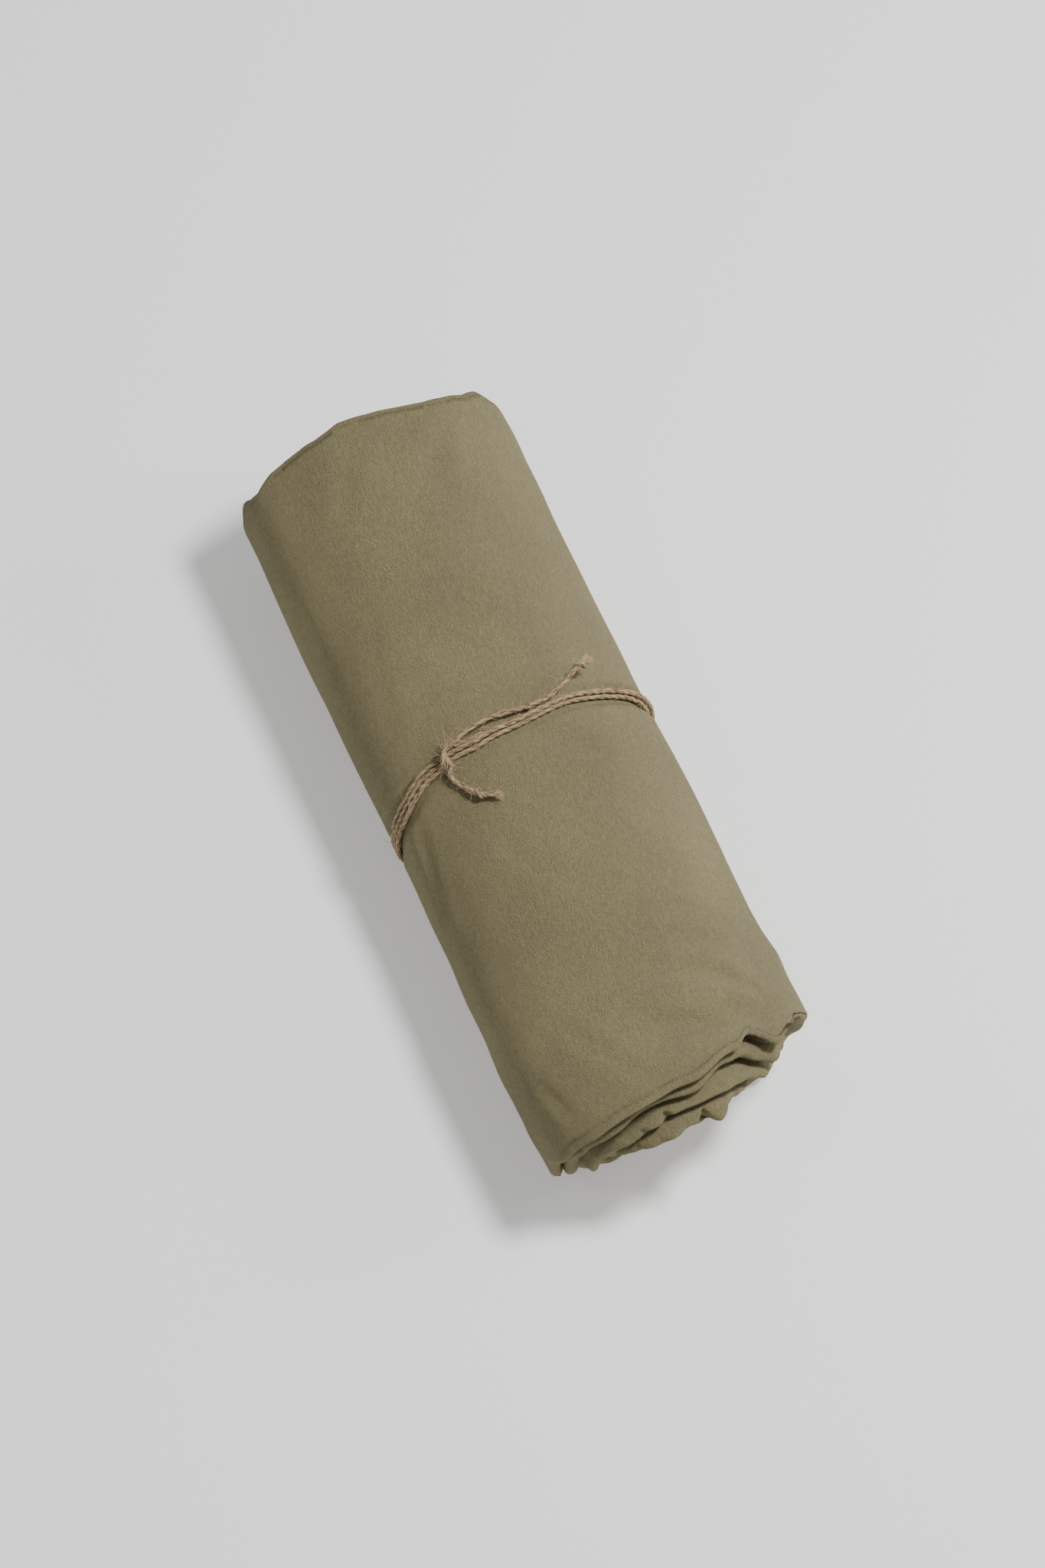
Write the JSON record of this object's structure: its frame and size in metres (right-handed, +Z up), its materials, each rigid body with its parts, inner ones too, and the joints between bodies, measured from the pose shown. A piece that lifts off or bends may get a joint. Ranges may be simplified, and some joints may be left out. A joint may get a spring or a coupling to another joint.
{
  "type": "rolled bed sheet",
  "caption": "Cotton bed sheet folded into a long band, rolled into an oval roll and tied round its middle with jute twine, lying on its side.",
  "frame": {"origin": "on the surface the roll lies on, under the middle of its footprint", "axes": "+X along the roll's axis towards the end whose folds step out, +Y across the roll to its right side, +Z up"},
  "size_m": [0.3922, 0.138, 0.0985],
  "materials": {
    "sheet": "matt, finely crinkled, khaki beige",
    "twine": "matt, two-ply twist with loose fibres"
  },
  "bodies": {
    "root": {"sheet_roll": "sheet", "twine_wraps": "twine", "twine_knot": "twine", "twine_end_long": "twine", "twine_end_short": "twine", "end_knot_long": "twine", "end_knot_short": "twine"}
  },
  "joints": []
}
